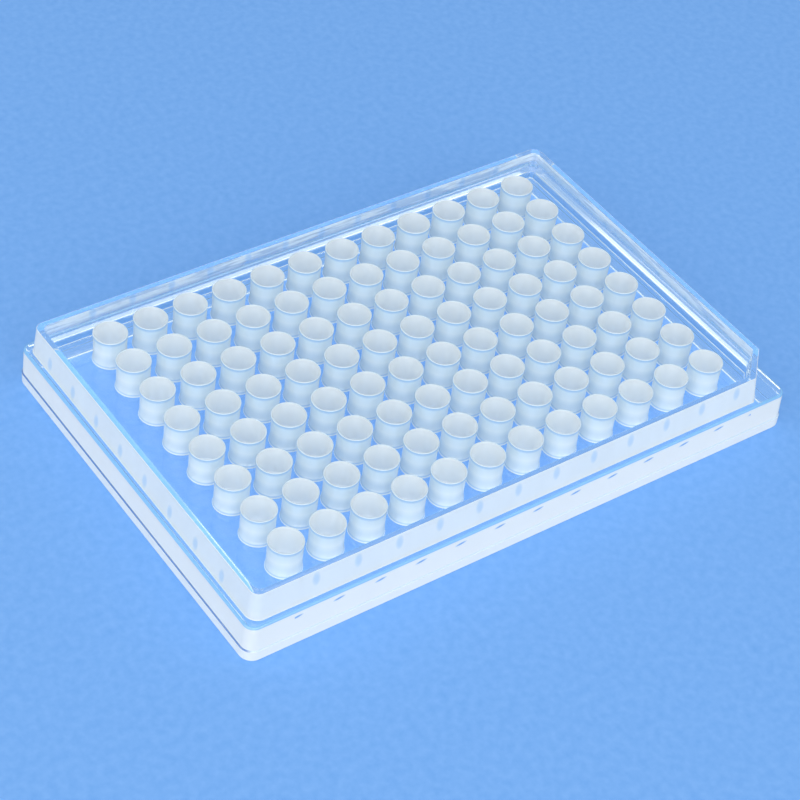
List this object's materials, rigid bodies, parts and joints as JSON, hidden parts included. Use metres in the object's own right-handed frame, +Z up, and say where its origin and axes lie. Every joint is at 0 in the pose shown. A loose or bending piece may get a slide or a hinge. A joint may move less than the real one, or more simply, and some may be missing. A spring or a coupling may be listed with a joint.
{
  "type": "well plate",
  "caption": "Shallow clear laboratory plate: a grid of small open round cups on a flat web, inside a low rim wall with one cut-off corner, on a skirt with a wider foot.",
  "frame": {"origin": "middle of the footprint, on the surface that the plate stands on", "axes": "+X along the longer side, +Y across it from the front row of wells to the back row, +Z up through the wells' mouths; the cut-off corner is at +X -Y"},
  "size_m": [0.1278, 0.0854, 0.0143],
  "materials": {
    "clear_plastic": "clear moulded polystyrene, polished on the level faces and lightly frosted on the cups and the outer walls"
  },
  "bodies": {
    "root": {"plate": "clear_plastic"}
  },
  "joints": []
}
